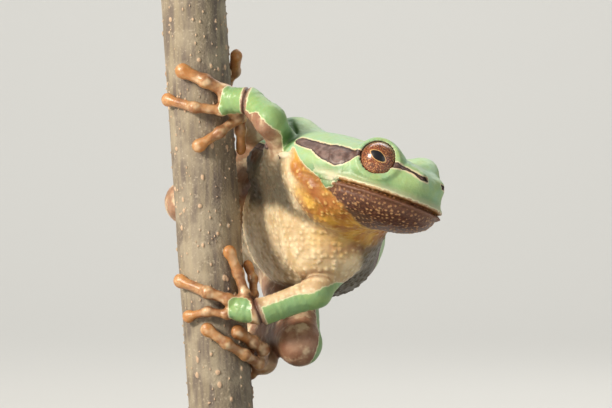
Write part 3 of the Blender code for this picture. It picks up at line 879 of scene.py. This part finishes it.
def marks(parts, p):
    """The skin's fields for its material at each point, and its places along the head."""
    share = shares(parts, p)
    head = head_marks(p)
    x, z, cheek = head["x"], head["z"], head["cheek"]
    height = along_trunk(p) - FLANK_EDGE
    front = head_rule(x, head["side"], z)
    body = share["head"] + share["trunk"]
    trunk_dark = np.minimum(-height, height + FLANK_BAND)
    green = body * clipped(front * head["green"] + (1.0 - front) * clipped(height))
    dark = body * clipped(front * head["dark"] + (1.0 - front) * clipped(trunk_dark))
    pink = np.zeros(len(p))
    digit = np.zeros(len(p))
    for name, (joints, _, _) in LIMBS.items():
        sleeve = -2.0
        for i, (outward, edge, warmth) in enumerate(LIMB_MARKS[name]):
            start, end = joints[i:i + 2]
            along = unit(end - start)
            across = unit(outward - (outward @ along) * along)
            field = clipped((p - start) @ across - edge)
            if R_KNEE is start or R_KNEE is end:
                field = np.minimum(field, far_from(R_KNEE, p) - BARE_KNEE)
            if name in WRISTS and i == 1:
                field = sleeve = cuffed(name, field, p)
            stretch = share[f"{name}_{i}"]
            green += stretch * field
            dark -= stretch
            pink += stretch * warmth
        tip = share[f"{name}_tip"]
        green += tip * sleeve
        dark -= tip
        digit += tip
    near_side = p[:, 1] < NEAR_SIDE
    strip = STRIP_WIDTH - cone(*NAPE_STRIP, 0.0, 0.0).distance(p * (1.0, 0.0, 1.0))
    green = np.where(near_side, np.maximum(green, strip), green)
    # Painted shade: the skin darkens along the creases
    crease_shade = least(*(cone(a, b, 0.0, 0.0).distance(p) for a, b, _, _ in CREASES))
    below = (1.0 - smooth(1.6, 2.8, -cheek)) * smooth(-10.6, -9.4, x) * smooth(0.0, 0.2, -cheek)
    glow = GLOW * (1.0 - smooth(0.35, 1.1, front_oval(GLOW_CENTRE, GLOW_RADII, p)))
    head["skull"] = share["head"]
    return {
        "green": green, "dark": dark, "pink": pink, "digit": digit, "limb": 1.0 - body,
        "chin": body * clipped(head["chin"]) - 2.0 * (1.0 - body),
        "gold": body * np.max([head["gold"], below, glow], axis=0),
        "rust": body * bump(cheek, -1.5, 1.1) * smooth(-10.4, -8.6, x),
        # Painted shade: the flanks below the green go dark
        "flank_shade": body * (1.0 - front) * smooth(-5.9, -4.7, height),
        "flap": (1.0 - smooth(0.75, 1.15, front_oval(FLAP_CENTRE, FLAP_RADII, p))) * near_side,
        "corner": body * bump(x, -3.5, 1.0) * bump(z, -3.1, 0.55),
        "crease_shade": bump(crease_shade, 0.0, 0.55), "lip": np.where(head["skull"] > 0.5, head["lip"], -3.0),
    }, head


def relief(p, found, head):
    """How far the skin stands out or sinks at each point, in millimetres."""
    body, dark = 1.0 - found["limb"], found["dark"]
    x, z, lip, cheek, on_skull = (head[key] for key in ("x", "z", "lip", "cheek", "skull"))
    on_face = on_skull * smooth(-7.5, -6.0, x)
    bare = smooth(0.0, 0.35, -found["green"]) * smooth(0.0, 0.3, -dark)
    fine = grains(p, FINE_GRAIN, 21)
    belly = body * bare * (1.0 - smooth(-0.3, 0.3, found["chin"]))
    height = belly * (GRAIN_HEIGHT * grains(p, GRAIN, 11) + 0.03 * clouds(p, 1.6, 31))
    height += body * smooth(-0.1, 0.4, found["chin"]) * CHIN_HEIGHT * fine
    height += found["pink"] * bare * 0.03 * fine + FLAP_HEIGHT * found["flap"]
    folds = np.sin(2.4 * cheek + 1.5 * clouds(p, 2.2, 41))
    height += found["gold"] * bare * FOLD_HEIGHT * folds
    lips = LIP_HEIGHT * (bump(lip, 0.38, 0.26) + bump(lip, -0.36, 0.22))
    height += on_face * smooth(-3.6, -2.6, x) * (lips - LIP_FOLD_DEPTH * bump(lip, -0.85, 0.2))
    ridge = bump(z - table(x, BAND_UPPER), 0.12, 0.22)
    height += on_skull * smooth(BAND_FRONT + 0.6, BAND_FRONT - 0.6, x) * RIDGE_HEIGHT * ridge
    height -= body * smooth(-0.1, 0.25, dark) * BAND_DEPTH
    drum = np.hypot(x - DRUM[0], z - DRUM[1])
    height += on_face * DRUM_HEIGHT * (bump(drum, DRUM[2], 0.16) - 1.0 + smooth(0.3, DRUM[2], drum))
    flap = smooth(-0.06, 0.22, cheek) * smooth(-11.0, -9.0, x) * smooth(-2.2, -3.0, x)
    height += body * flap * CHEEK_STEP * (1.0 - smooth(0.6, 2.4, cheek))
    for side in (1, -1):
        height -= on_skull * LID_CREASE * bump(far_from(eye_centre(side), p), LID_RADIUS + 0.55, 0.16)
    for joint in (R_WRIST, L_WRIST, R_ELBOW, L_ELBOW, R_HEEL, L_HEEL):
        ring = far_from(joint, p)
        wave = np.sin(11.0 * ring + 2.0 * clouds(p, 1.0, 51))
        height += (1.0 - body) * WRINKLE_HEIGHT * wave * bump(ring, 1.8, 1.1)
    height += (1.0 - body) * 0.02 * clouds(p, 0.5, 61)
    height += smooth(0.0, 0.5, found["green"]) * (0.028 * clouds(p, 0.42, 62) + 0.02 * clouds(p, 1.3, 63))
    return height


def add_mesh(name, points, faces, fields):
    """A smooth mesh at the drawing's points, with the fields that it carries."""
    mesh = bpy.data.meshes.new(name)
    mesh.from_pydata(to_world(points).tolist(), [], faces)
    mesh.shade_smooth()
    for field, values in fields.items():
        layer = mesh.attributes.new(field, "FLOAT", "POINT")
        layer.data.foreach_set("value", np.asarray(values, np.float32))
    return mesh


def add_object(name, data):
    """An object in the scene."""
    added = bpy.data.objects.new(name, data)
    bpy.context.scene.collection.objects.link(added)
    return added


def add_piece(name, mesh, material, nodes, placing=Matrix()):
    """A piece that takes the place of these nodes."""
    mesh.materials.append(material)
    piece = add_object(name, mesh)
    piece.matrix_world = placing
    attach(piece, "root")
    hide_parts(*nodes)


def build_skin():
    """The skin as one mesh with its relief, its markings, and fields of painted shade and highlight."""
    form, parts = skin_form()
    points, faces = largest_shell(*surface(form, SKIN_STEP))
    points = points - form.distance(points)[:, None] * slope(form, points)
    normals = slope(form, points)
    fields, head = marks(parts, points)
    height = relief(points, fields, head)
    fields["grain"] = grains(points, GRAIN, 11)
    fields["fine"] = grains(points, FINE_GRAIN, 21)
    ends = [digit[-1] for _, digits, _ in (R_HAND, L_HAND, L_FOOT, R_FOOT) for digit in digits]
    nearest = least(*(far_from(round_stem(*end), points) for end in ends))
    fields["tip"] = 1.0 - smooth(0.7, 2.2, nearest)
    # Painted highlight: how far each point stands out from the bark, for the digits
    off = np.hypot(points[:, 0] - STEM_X - STEM_LEAN * points[:, 2], points[:, 1])
    fields["raised"] = smooth(0.6, 1.5, off - STEM_RADIUS)
    # Painted shade: a dark band in each wrist's crease
    creases = [bump((points - wrist) @ onward, 0.0, 0.5) * (far_from(wrist, points) < 2.6)
               for wrist, onward in WRISTS.values()]
    fields["wrist"] = np.max(creases, axis=0)
    # Painted shade: how deep each point lies in a hollow, to darken folds
    hollow_shade = form.distance(points + HOLLOW_REACH * normals) / HOLLOW_REACH
    fields["hollow_shade"] = 1.0 - smooth(0.3, 0.9, hollow_shade)
    mesh = add_mesh("frog_skin", points + height[:, None] * normals, faces.tolist(), fields)
    add_piece("frog_skin", mesh, skin_material(), FLESH_NODES)


class Graph:
    """A material, with short calls that add nodes to it."""

    def __init__(self, name):
        self.material = bpy.data.materials.new(name)
        self.material.use_nodes = True
        self.tree = self.material.node_tree
        self.shader = self.tree.nodes["Principled BSDF"]

    def add(self, kind, settings=None, **inputs):
        """A node with settings, and inputs by name as sockets or plain values."""
        node = self.tree.nodes.new(kind)
        for key, value in (settings or {}).items():
            setattr(node, key, value)
        for key, value in inputs.items():
            self.feed(node.inputs[key.replace("_", " ")], value)
        return node

    def feed(self, socket, value):
        """Link a socket, or set it."""
        if isinstance(value, bpy.types.NodeSocket):
            self.tree.links.new(value, socket)
        else:
            socket.default_value = value

    def math(self, operation, a, b=0.0, c=0.0):
        """One sum on two or three values."""
        node = self.add("ShaderNodeMath", {"operation": operation})
        for socket, value in zip(node.inputs, (a, b, c)):
            self.feed(socket, value)
        return node.outputs[0]

    def times(self, a, b):
        """Two values multiplied."""
        return self.math("MULTIPLY", a, b)

    def plus(self, a, b, share=1.0):
        """The first value and a share of the second."""
        return self.math("MULTIPLY_ADD", b, share, a)

    def ramp(self, value, low, high):
        """An even ramp from 0 at low to 1 at high."""
        even = {"interpolation_type": "SMOOTHSTEP"}
        return self.add("ShaderNodeMapRange", even, Value=value, From_Min=low, From_Max=high).outputs[0]

    def over(self, base, colour, share, amount=None):
        """A colour laid over another by a share, times an amount where one is given."""
        node = self.add("ShaderNodeMix", {"data_type": "RGBA"})
        self.feed(node.inputs[0], share if amount is None else self.times(share, amount))
        for socket, value in ((node.inputs[6], base), (node.inputs[7], colour)):
            self.feed(socket, (*value, 1.0) if isinstance(value, tuple) else value)
        return node.outputs[2]

    def place(self, scale=(1000.0, 1000.0, 1000.0)):
        """The object's own coordinates, in millimetres unless stretched."""
        coordinates = self.add("ShaderNodeTexCoord").outputs["Object"]
        return self.add("ShaderNodeMapping", Vector=coordinates, Scale=scale).outputs[0]

    def noise(self, place, scale, detail=2.0):
        """Cloudy noise."""
        return self.add("ShaderNodeTexNoise", Vector=place, Scale=scale, Detail=detail).outputs["Fac"]

    def spots(self, place, scale):
        """Distance to scattered spots."""
        return self.add("ShaderNodeTexVoronoi", Vector=place, Scale=scale).outputs["Distance"]

    def field(self, name):
        """A value that the mesh carries."""
        return self.add("ShaderNodeAttribute", {"attribute_name": name}).outputs["Fac"]

    def bump(self, height, strength, distance):
        """Fine relief in the shading."""
        return self.add("ShaderNodeBump", Height=height, Strength=strength, Distance=distance).outputs[0]

    def surface(self, colour, roughness, normal=None, **constants):
        """Feed the surface's main inputs."""
        self.feed(self.shader.inputs["Base Color"], colour)
        self.feed(self.shader.inputs["Roughness"], roughness)
        if normal:
            self.feed(self.shader.inputs["Normal"], normal)
        for key, value in constants.items():
            self.shader.inputs[key.replace("_", " ")].default_value = value
        return self.material


def belly_colour(g, place, cloud, speck):
    """Granular cream, grey along the flanks and darkened there by painted shade, and golden round the
    throat.
    """
    grain = g.field("grain")
    cream = g.over(CREAM_SHADE, CREAM, g.ramp(cloud, 0.35, 0.7))
    cream = g.over(cream, CREAM_GRAIN, g.ramp(grain, 0.35, 0.95), 0.55)
    cream = g.over(cream, YELLOW, g.ramp(speck, 0.55, 0.75), 0.35)
    # Painted shade darkens the grey flanks
    cream = g.over(cream, FLANK_SHADE, g.field("flank_shade"), 0.92)
    golden = g.over(GOLD_DEEP, GOLD, g.ramp(g.noise(place, 0.45, 3.0), 0.3, 0.7))
    golden = g.over(golden, GOLD_DEEP, g.field("rust"), 0.8)
    golden = g.over(golden, GOLD_GRAIN, g.ramp(grain, 0.45, 0.95), 0.55)
    return g.over(cream, golden, g.field("gold"), g.ramp(cloud, 0.1, 0.4))


def bare_colour(g, place, cloud):
    """The pinkish brown of the limbs where they aren't green."""
    pinkish = g.over(PINK_DEEP, PINK, g.ramp(g.noise(place, 0.7, 3.0), 0.35, 0.7))
    return g.over(pinkish, PINK_PALE, g.ramp(cloud, 0.5, 0.64), 0.85)


def digit_colour(g, place, speck):
    """Orange tan, with a painted highlight where a digit stands clear of the twig."""
    tan = g.over(TAN_DEEP, TAN, g.ramp(g.noise(place, 0.7, 3.0), 0.35, 0.65))
    tan = g.over(tan, TAN_DEEP, g.ramp(speck, 0.52, 0.68), 0.45)
    tan = g.over(tan, TAN_TIP, g.field("tip"), 0.55)
    # Painted highlight where a digit stands clear of the twig
    return g.over(tan, TAN_HIGHLIGHT, g.ramp(g.noise(place, 1.1, 1.0), 0.4, 0.75), g.field("raised"))


def jaw_colour(g, cloud, speck, lip):
    """Dark brown with beige grains, and a plainer lower lip."""
    jaw = g.over(BROWN_DEEP, BROWN, g.ramp(speck, 0.4, 0.7))
    jaw = g.over(jaw, BEIGE, g.ramp(g.field("fine"), 0.3, 0.65), g.ramp(cloud, 0.2, 0.45))
    return g.over(jaw, LIP_BROWN, g.ramp(lip, -0.75, -0.55), g.ramp(lip, -0.02, -0.14))


def leaf_colour(g, place, cloud, speck, lip, hollow_shade, edge):
    """Leaf green, deeper on the limbs in part as painted shade, darkened by painted shade in folds and
    along creases, pale along the upper lip and at its edge.
    """
    leaf = g.over(GREEN_COOL, GREEN_WARM, g.ramp(cloud, 0.3, 0.7))
    leaf = g.over(leaf, GREEN_PALE, g.ramp(speck, 0.5, 0.8), 0.4)
    leaf = g.over(leaf, GREEN_SHADE, g.ramp(g.noise(place, 1.4, 4.0), 0.55, 0.8), 0.35)
    # The limbs' deeper green, partly painted shade
    leaf = g.over(leaf, GREEN_LIMB_TONE_AND_SHADE, g.field("limb"), 0.5)
    # Painted shade in hollows and folds
    leaf = g.over(leaf, GREEN_CREASE_SHADE, hollow_shade, 0.85)
    # Painted shade along the creases
    leaf = g.over(leaf, GREEN_CREASE_SHADE, g.field("crease_shade"), 0.8)
    leaf = g.over(leaf, BORDER, g.times(g.ramp(lip, 1.3, 0.45), g.ramp(lip, 0.0, 0.3)), 0.5)
    leaf = g.over(leaf, FLAP, g.field("corner"), 0.75)
    return g.over(leaf, BORDER, g.ramp(edge, 0.2, 0.05))


def skin_material():
    """Moist skin: green, cream, gold, brown and tan by the fields that the mesh carries."""
    g = Graph("frog_skin")
    place = g.place()
    rough_edge = g.math("MULTIPLY_ADD", g.noise(place, 2.2, 3.0), 0.5, -0.25)
    cloud = g.noise(place, 0.55, 3.0)
    speck = g.noise(place, 3.5, 3.0)
    lip = g.field("lip")
    hollow_shade = g.field("hollow_shade")
    digit = g.ramp(g.field("digit"), 0.3, 0.7)
    chin = g.ramp(g.plus(g.field("chin"), rough_edge), -0.3, 0.3)
    edge = g.plus(g.field("green"), rough_edge, 0.7)
    dark = g.plus(g.field("dark"), rough_edge, 0.5)

    colour = belly_colour(g, place, cloud, speck)
    colour = g.over(colour, bare_colour(g, place, cloud), g.field("pink"))
    colour = g.over(colour, digit_colour(g, place, speck), digit)
    colour = g.over(colour, jaw_colour(g, cloud, speck, lip), chin)
    # Painted shade darkens hollows and folds
    colour = g.over(colour, CAVITY_SHADE, hollow_shade, 0.55)
    # Painted shade in the wrist creases
    colour = g.over(colour, WRIST_CREASE_SHADE, g.field("wrist"), 0.85)
    leaf = leaf_colour(g, place, cloud, speck, lip, hollow_shade, edge)
    colour = g.over(colour, leaf, g.ramp(edge, -0.03, 0.04))
    colour = g.over(colour, FLAP, g.field("flap"), 0.8)
    stripe = g.over(STRIPE_BROWN, STRIPE_PALE, g.ramp(g.noise(place, 1.3, 3.0), 0.4, 0.65))
    stripe = g.over(stripe, STRIPE_EDGE, g.ramp(dark, 0.25, 0.08))
    colour = g.over(colour, stripe, g.ramp(dark, 0.0, 0.06))

    height = g.plus(g.times(speck, 0.5), g.spots(place, 4.5), 0.5)
    rough = g.math("MULTIPLY_ADD", digit, -0.12, g.math("MULTIPLY_ADD", speck, 0.15, 0.42))
    return g.surface(colour, rough, g.bump(height, 0.4, 0.0001), Coat_Weight=0.1, Coat_Roughness=0.25,
                     Subsurface_Weight=0.12, Subsurface_Scale=0.0006)


def eye_material():
    """Copper iris with gold flecks, a gold ring and a black lens-shaped pupil, under a wet coat."""
    g = Graph("frog_eye")
    place = g.place()
    x, y, z = g.add("ShaderNodeSeparateXYZ", Vector=place).outputs
    sides = [g.math("POWER", g.math("DIVIDE", g.math("ABSOLUTE", value), reach), PUPIL_CURVE)
             for value, reach in ((x, PUPIL_WIDE), (y, PUPIL_TALL))]
    reach = g.math("ADD", *sides)
    wobble = g.math("MULTIPLY_ADD", g.noise(place, 3.0), 0.25, -0.12)
    pupil = g.ramp(g.math("ADD", reach, wobble), 1.06, 0.94)
    ring = g.times(g.ramp(reach, 1.42, 1.15), g.math("SUBTRACT", 1.0, pupil))
    flecks = g.noise(place, 7.0, 4.0)
    iris = g.over(IRIS_DEEP, IRIS_COPPER, g.ramp(flecks, 0.38, 0.62))
    iris = g.over(iris, IRIS_GOLD, g.ramp(g.noise(place, 8.0, 3.0), 0.54, 0.64), 0.75)
    iris = g.over(iris, IRIS_RIM, g.ramp(z, 1.35, 1.12))
    colour = g.over(g.over(iris, IRIS_RING, ring, 0.6), PUPIL_BLACK, pupil)
    return g.surface(colour, 0.3, g.bump(flecks, 0.1, 0.00005), Coat_Weight=1.0, Coat_Roughness=0.02)


def bark_material():
    """Grey-brown bark with fine upright streaks and pale raised pores."""
    g = Graph("bark")
    even = g.place()
    streak = g.noise(g.place((900.0, 900.0, 90.0)), 1.6, 5.0)
    colour = g.over(BARK_DEEP, BARK, g.ramp(streak, 0.35, 0.68))
    colour = g.over(colour, BARK_PALE, g.ramp(g.noise(even, 0.35, 3.0), 0.4, 0.65), 0.6)
    colour = g.over(colour, BARK_SPECK, g.ramp(g.noise(even, 3.0, 3.0), 0.58, 0.7), 0.5)
    colour = g.over(colour, PORE, g.ramp(g.field("pore"), 0.25, 0.7))
    rings = g.math("SINE", g.times(g.field("ring"), 14.0))
    cut = g.over(WOOD, WOOD_DEEP, g.ramp(rings, -0.6, 0.9))
    colour = g.over(colour, cut, g.field("wood"))
    normal = g.bump(g.math("ADD", streak, g.noise(even, 4.0, 3.0)), 0.5, 0.00015)
    return g.surface(colour, 0.78, normal)


def stand_material():
    """Satin black paint."""
    g = Graph("stand_paint")
    place = g.place()
    speck = g.noise(place, 2.0)
    normal = g.bump(g.noise(place, 6.0), 0.08, 0.00003)
    return g.surface(g.over(PAINT, PAINT_PALE, speck), g.math("MULTIPLY_ADD", speck, 0.1, 0.32), normal)


def build_eye(side, name, material):
    """One eyeball that looks out of its lids, its pupil long way along the head."""
    bm = bmesh.new()
    bmesh.ops.create_uvsphere(bm, u_segments=96, v_segments=64, radius=EYE_RADIUS * MM)
    mesh = bpy.data.meshes.new(name)
    bm.to_mesh(mesh)
    bm.free()
    mesh.shade_smooth()
    gaze = unit(at(GAZE[0], side * GAZE[1], GAZE[2]) @ HEAD_AXES)
    long_way = at(PUPIL_SLANT[0], 0.0, PUPIL_SLANT[1]) @ HEAD_AXES
    x = unit(long_way - (long_way @ gaze) * gaze)
    turn = Matrix(np.array([x, np.cross(gaze, x), gaze]).T.tolist()).to_4x4()
    placing = Matrix.Translation(Vector(to_world(eye_centre(side)))) @ turn
    add_piece(name, mesh, material, [name.replace("ball", "")], placing)


def bands(rows, around):
    """Four-sided faces between rings of points that follow one another."""
    return [(row + i, row + (i + 1) % around, row + around + (i + 1) % around, row + around + i)
            for row in range(0, (rows - 1) * around, around) for i in range(around)]


def pore_field(flat):
    """How near each point of the straightened stem is to a pore, from 0 to 1."""
    rng = np.random.default_rng(7)
    pore = np.zeros(len(flat))
    for i in range(PORES + SMALL_PORES):
        turn = rng.uniform(0, 2 * math.pi)
        height = rng.uniform(STEM_FOOT, STEM_TOP)
        size = rng.uniform(*(PORE_SIZES if i < PORES else SMALL_PORE_SIZES))
        middle = at(STEM_RADIUS * math.cos(turn), STEM_RADIUS * math.sin(turn), height)
        off = (flat - middle) / (size, size, size * rng.uniform(1.0, 1.7))
        pore = np.maximum(pore, 1.0 - smooth(0.3, 1.1, np.linalg.norm(off, axis=1)))
    return pore


def build_stem():
    """The twig: bark with raised pores and faint ridges, and a clean cut at each end."""
    across, up = ((420, 440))
    angles = np.linspace(0, 2 * math.pi, across, endpoint=False)
    a, z = (v.ravel() for v in np.meshgrid(angles, np.linspace(STEM_FOOT, STEM_TOP, up)))
    flat = np.stack([STEM_RADIUS * np.cos(a), STEM_RADIUS * np.sin(a), z], axis=1)
    pore = pore_field(flat)
    stretched = flat * (1.0, 1.0, 0.2)
    swell = 0.05 * clouds(stretched, 1.1, 71) + 0.03 * clouds(stretched, 0.4, 72)
    swell += 0.06 * clouds(flat, 5.0, 73)
    r = STEM_RADIUS - 0.04 + 0.5 * (swell - 0.1) + PORE_HEIGHT * pore
    r = r - CUT_BEVEL * (1.0 - smooth(0.0, 0.35, np.minimum(STEM_TOP - z, z - STEM_FOOT)))
    points = np.stack([STEM_X + STEM_LEAN * z + r * np.cos(a), r * np.sin(a), z], axis=1)
    faces = bands(up, across)
    rings = [(0.0, 0.0)] * up
    for row, flip in ((0, True), ((up - 1) * across, False)):
        edge = points[row:row + across]
        middle = edge.mean(axis=0)
        previous = range(row, row + across)
        for share in CUT_RINGS:
            circle = middle + (edge - middle) * share
            inner = share < CUT_RINGS[0]
            circle[:, 2] += inner * (-CUT_CROWN if flip else CUT_CROWN) * (1 - share)
            current = range(len(points), len(points) + across)
            points = np.concatenate([points, circle])
            rings.append((float(inner), share * STEM_RADIUS))
            for i in range(across):
                k = (i + 1) % across
                quad = (previous[i], previous[k], current[k], current[i])
                faces.append(quad[::-1] if flip else quad)
            previous = current
        faces.append(tuple(previous)[::-1] if flip else tuple(previous))
    wood, ring = np.repeat(rings, across, axis=0).T
    fields = {"pore": np.pad(pore, (0, len(points) - len(pore))), "wood": wood, "ring": ring}
    add_piece("bark", add_mesh("bark", points, faces, fields), bark_material(), ["perch_stem"])


def turned(name, profile, node, place, material):
    """A turned piece from (radius, height) pairs, closed at both ends."""
    around = 128
    angles = [2 * math.pi * i / around for i in range(around)]
    points = [(place[0] + radius * math.cos(a), place[1] + radius * math.sin(a), place[2] + height)
              for radius, height in profile for a in angles]
    faces = bands(len(profile), around)
    faces.append(tuple(range(around))[::-1])
    faces.append(tuple(range(len(points) - around, len(points))))
    add_piece(name, add_mesh(name, points, faces, {}), material, [node])


def rounded_profile(radius, height, edge):
    """The outline of a disc or rod with rounded edges, from its foot up."""
    turns = [math.radians(a) for a in range(0, 91, 15)]
    foot = [(radius - edge + edge * math.sin(t), edge - edge * math.cos(t)) for t in turns]
    top = [(radius - edge + edge * math.cos(t), height - edge + edge * math.sin(t)) for t in turns]
    return [(radius - edge - 0.01, 0.0)] + foot + top + [(radius - edge - 0.01, height)]


def build_stand():
    """The plain display stand."""
    material = stand_material()
    turned("base", rounded_profile(BASE_RADIUS, BASE_THICKNESS, BASE_EDGE), "stand_base",
           (*BASE_CENTRE, FLOOR_Z), material)
    bottom = FLOOR_Z + BASE_THICKNESS
    turned("rod", rounded_profile(ROD_RADIUS, STEM_FOOT - bottom, ROD_EDGE), "stand_rod",
           (*stem_axis(STEM_FOOT)[:2], bottom), material)


def add_camera():
    """The photo's viewing angle: straight at the twig, a third of a metre away."""
    data = bpy.data.cameras.new("camera")
    camera = add_object("camera", data)
    camera.location = to_world((0.0, -CAMERA_AWAY, 0.0))
    camera.rotation_euler = (math.radians(90), 0, 0)
    data.sensor_width = 36.0
    data.lens = data.sensor_width * CAMERA_AWAY / VIEW_WIDTH
    data.clip_start = 0.01
    data.clip_end = 10.0
    bpy.context.scene.camera = camera


def add_light(name, place, size, power, colour, target):
    """A square soft light aimed at a place."""
    data = bpy.data.lights.new(name, "AREA")
    data.size = size
    data.energy = power
    data.color = colour
    light = add_object(name, data)
    light.location = to_world(place)
    aim = Vector(to_world(target)) - light.location
    light.rotation_euler = aim.to_track_quat("-Z", "Y").to_euler()


def add_stage():
    """A plain pale floor that sweeps up behind, and soft studio light."""
    turns = np.linspace(0.1, math.pi / 2, 16)
    profile = [(-2.5, 0.0), (0.6, 0.0)]
    profile += [(0.6 + 0.6 * math.sin(t), 0.6 - 0.6 * math.cos(t)) for t in turns]
    profile += [(1.2, 3.0)]
    points = [(x, y, z) for y, z in profile for x in (-3.0, 3.0)]
    faces = [(2 * i, 2 * i + 1, 2 * i + 3, 2 * i + 2) for i in range(len(profile) - 1)]
    mesh = bpy.data.meshes.new("floor")
    mesh.from_pydata(points, [], faces)
    mesh.shade_smooth()
    mesh.materials.append(Graph("floor").surface(FLOOR_COLOUR, 0.85))
    add_object("floor", mesh)
    for light in LIGHTS:
        add_light(*light)
    world = bpy.data.worlds.new("world")
    world.use_nodes = True
    background = world.node_tree.nodes["Background"]
    background.inputs["Color"].default_value = SKY_COLOUR
    background.inputs["Strength"].default_value = SKY_STRENGTH
    bpy.context.scene.world = world
    bpy.context.scene.view_settings.view_transform = "Standard"


def main():
    """Build every piece."""
    add_camera()
    add_stage()
    build_skin()
    iris = eye_material()
    build_eye(-1, "eyeball_right", iris)
    build_eye(1, "eyeball_left", iris)
    build_stem()
    build_stand()


main()
